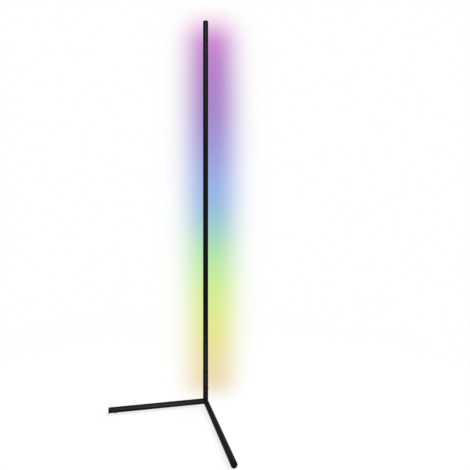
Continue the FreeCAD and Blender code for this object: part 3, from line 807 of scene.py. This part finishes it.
LIGHT_FOOT, LIGHT_PITCH, LIGHT_COUNT = light_rhythm()
print(f"{LIGHT_COUNT} lights, the lowest at {LIGHT_FOOT:.4f} m, {LIGHT_PITCH:.4f} m apart")

# %% [markdown]
# ## The lit diffuser
#
# The opal cover scatters the light of the strip behind it. The light could really come from the
# strip, through a cover that lets it pass, but that takes long to render and stays noisy. So the
# cover itself glows. Each light still shows as a soft, paler spot, because it is only a few
# millimetres away. The colour comes from the height, by the same group as the band of painted light
# behind the lamp, and each spot mixes it towards white. The cover's own colour is a mid grey,
# because a white one would wash out, and a share of the lights' colours is painted into it as light.

# %% Helpers: the spots on the diffuser
SPOT_FALL = -2.2                  # how fast a spot fades from its middle


def height_from_light(tree, height):
    """How far a height is from the middle of the nearest light."""
    above_first = math_node(tree, "SUBTRACT", height, LIGHT_FOOT)
    return math_node(tree, "PINGPONG", above_first, LIGHT_PITCH / 2)


def spots(tree, parts):
    """1 over the middle of each light, fading to the borders of its stretch of the cover."""
    low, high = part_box("diffuser")
    upward = math_node(tree, "DIVIDE", height_from_light(tree, parts["Z"]), LIGHT_PITCH / 2)
    sideways = math_node(tree, "DIVIDE", parts["X"], (high.x - low.x) / 2)
    sideways = math_node(tree, "ABSOLUTE", sideways)
    squares = [math_node(tree, "POWER", part, 2.0) for part in (upward, sideways)]
    distance = math_node(tree, "ADD", *squares)
    return math_node(tree, "EXPONENT", math_node(tree, "MULTIPLY", distance, SPOT_FALL))


print(f"a spot every {LIGHT_PITCH * 1000:.1f} mm on the diffuser")

# %% Finish: opal diffuser
SPOT_WHITE = 0.45                 # how far a spot's middle goes towards white
# Painted light: a share of the lights' colours goes into the cover's base colour.
PAINTED_LIGHT_TINT = 0.3                  # share of the lights' colours in the cover's own
GLOW_STRENGTH = 0.75


def opal_diffuser():
    dark, light = (0.24, 0.24, 0.25, 1), (0.30, 0.30, 0.31, 1)
    material, tree = new_material("opal_diffuser")
    parts = split(tree, place_of(tree))
    share = math_node(tree, "DIVIDE", parts["Z"], cad_high.z)
    colour = use_group(tree, LIGHT_COLOURS, {"Share": share})["Colour"]
    inputs = {"Saturation": 1.3, "Value": 0.9, "Color": colour}
    deep = node(tree, "ShaderNodeHueSaturation", inputs).outputs["Color"]
    hot = math_node(tree, "MULTIPLY", spots(tree, parts), SPOT_WHITE)
    glow = blend_colours(tree, hot, deep, WHITE)
    grain = use_group(tree, GRAIN, {"Size": 0.0006, "Mottle size": 0.04})
    sheet = blend_colours(tree, grain["Mottle"], dark, light)
    # Painted light: the cover's base colour takes a share of the lights' colours.
    painted_light_base = blend_colours(tree, PAINTED_LIGHT_TINT, sheet, deep)
    rough = blend_values(tree, grain["Mottle"], low=0.40, high=0.52)
    skin = bump(tree, grain["Height"], distance=0.00003, strength=0.3)
    show(tree, principled(tree, {
        "Base Color": painted_light_base, "Roughness": rough, "Normal": skin,
        "Emission Color": glow, "Emission Strength": GLOW_STRENGTH}))
    return material


keep_finish(opal_diffuser())

# %% [markdown]
# ## Bare and plated metal
#
# Inside the lamp there are a turned plug, drawn ballast bars and plated screws, and at the back a
# nickel-plated nut. All of them are metal, so their colour is their reflection and the roughness
# does the work: turned and drawn pieces show lines, plating is smooth with a slight cloud. One
# function makes them all, from two shades, a roughness and, where there are any, the lines.

# %% Finishes: plug, ballast, screws and nut
def metal(name, dark, light, rough, lines=None, worn=(0.6, 0.6, 0.6, 1)):
    """A metal between two shades. Lines is None, or the inputs of the drawn lines."""
    material, tree = new_material(name)
    grain = use_group(tree, GRAIN, {"Size": 0.0003, "Mottle size": 0.008})
    edges = use_group(tree, RUBBED_EDGES, {"Radius": 0.0002, "Amount": 0.6})
    plate = blend_colours(tree, grain["Mottle"], dark, light)
    rubbed = blend_colours(tree, edges["Mask"], plate, worn)
    height = grain["Height"]
    if lines is not None:
        height = use_group(tree, DRAWN_LINES, lines)["Height"]
    polish = blend_values(tree, height, low=rough - 0.06, high=rough + 0.08)
    skin = bump(tree, height, distance=0.00002, strength=0.4, normal=edges["Normal"])
    show(tree, principled(tree, {
        "Base Color": rubbed, "Metallic": 1.0, "Roughness": polish, "Normal": skin}))
    keep_finish(material)


metal("plug_aluminium", (0.58, 0.59, 0.61, 1), (0.66, 0.67, 0.69, 1), rough=0.32,
      lines={"Width": 0.0004, "Length": 0.0003, "Lying": 0.0})
metal("ballast_steel", (0.28, 0.28, 0.29, 1), (0.37, 0.36, 0.36, 1), rough=0.38,
      lines={"Width": 0.0005, "Length": 0.08, "Lying": 1.0})
metal("black_screw_steel", (0.035, 0.035, 0.04, 1), (0.065, 0.065, 0.07, 1), rough=0.36,
      worn=(0.22, 0.22, 0.23, 1))
metal("inlet_nickel", (0.62, 0.60, 0.56, 1), (0.72, 0.70, 0.66, 1), rough=0.22)

# %% [markdown]
# ## The strip and the controller
#
# The strip is a white flexible board on tape. The controller is a green laminate board with black
# chips, on a plain dark sled, and pale leads join the two. These finishes differ only in their two
# shades, their roughness and the size of their grain, so again one function makes them all.

# %% Finishes: tape, strip, leads and controller
def plain(name, dark, light, rough, grain_size=0.0005, mottle_size=0.01):
    """A finish with two close shades, a grain and a roughness that wanders a little."""
    material, tree = new_material(name)
    grain = use_group(tree, GRAIN, {"Size": grain_size, "Mottle size": mottle_size})
    body = blend_colours(tree, grain["Mottle"], dark, light)
    polish = blend_values(tree, grain["Mottle"], low=rough - 0.05, high=rough + 0.06)
    skin = bump(tree, grain["Height"], distance=0.00003, strength=0.5)
    show(tree, principled(tree, {"Base Color": body, "Roughness": polish, "Normal": skin}))
    keep_finish(material)


plain("tape_film", (0.70, 0.69, 0.63, 1), (0.80, 0.79, 0.74, 1), rough=0.45)
plain("strip_white", (0.80, 0.80, 0.78, 1), (0.88, 0.88, 0.86, 1), rough=0.40)
plain("lead_insulation", (0.66, 0.66, 0.64, 1), (0.76, 0.76, 0.74, 1), rough=0.5,
      mottle_size=0.02)
plain("sled_plastic", (0.045, 0.045, 0.047, 1), (0.06, 0.06, 0.062, 1), rough=0.6)
plain("board_laminate", (0.012, 0.075, 0.035, 1), (0.018, 0.10, 0.045, 1), rough=0.35,
      grain_size=0.0003, mottle_size=0.003)
plain("chip_resin", (0.014, 0.014, 0.015, 1), (0.022, 0.022, 0.023, 1), rough=0.55,
      grain_size=0.0002, mottle_size=0.002)

# %% [markdown]
# ## The lights
#
# A light on the strip is a small square of pale resin with a round yellowish well in its middle.
# The well could be a solid of its own, but it is flush with the case. So it is painted by the
# distance from the light's own middle, and one material fits every light of the strip.

# %% Finish: light package
WELL_RADIUS = 0.0019
WELL_RIM = 0.0002                 # the well's colour fades this much to either side of its edge


def light_package():
    dark, light = (0.84, 0.84, 0.82, 1), (0.90, 0.90, 0.88, 1)
    resin = (0.86, 0.78, 0.42, 1)
    material, tree = new_material("light_package")
    parts = split(tree, place_of(tree))
    from_middle = {0: parts["X"], 1: height_from_light(tree, parts["Z"])}
    flat = node(tree, "ShaderNodeCombineXYZ", from_middle).outputs["Vector"]
    well = soft_step(tree, length_of(tree, flat), edge=WELL_RADIUS, width=-WELL_RIM)
    grain = use_group(tree, GRAIN, {"Size": 0.0003, "Mottle size": 0.004})
    case = blend_colours(tree, grain["Mottle"], dark, light)
    body = blend_colours(tree, well, case, resin)
    rough = blend_values(tree, well, low=0.35, high=0.12)
    skin = bump(tree, grain["Height"], distance=0.00002, strength=0.4)
    show(tree, principled(tree, {"Base Color": body, "Roughness": rough, "Normal": skin}))
    return material


keep_finish(light_package())

# %% [markdown]
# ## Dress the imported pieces
#
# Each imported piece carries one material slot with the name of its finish. A new mesh could take its
# place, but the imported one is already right. So the piece keeps its mesh and its place, and only
# the material in the slot is exchanged.

# %% Put the finishes on
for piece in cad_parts.values():
    for slot in piece.material_slots:
        slot.material = FINISHES[finish_name(slot.material)]
print(f"{len(FINISHES)} finishes on {len(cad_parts)} pieces")
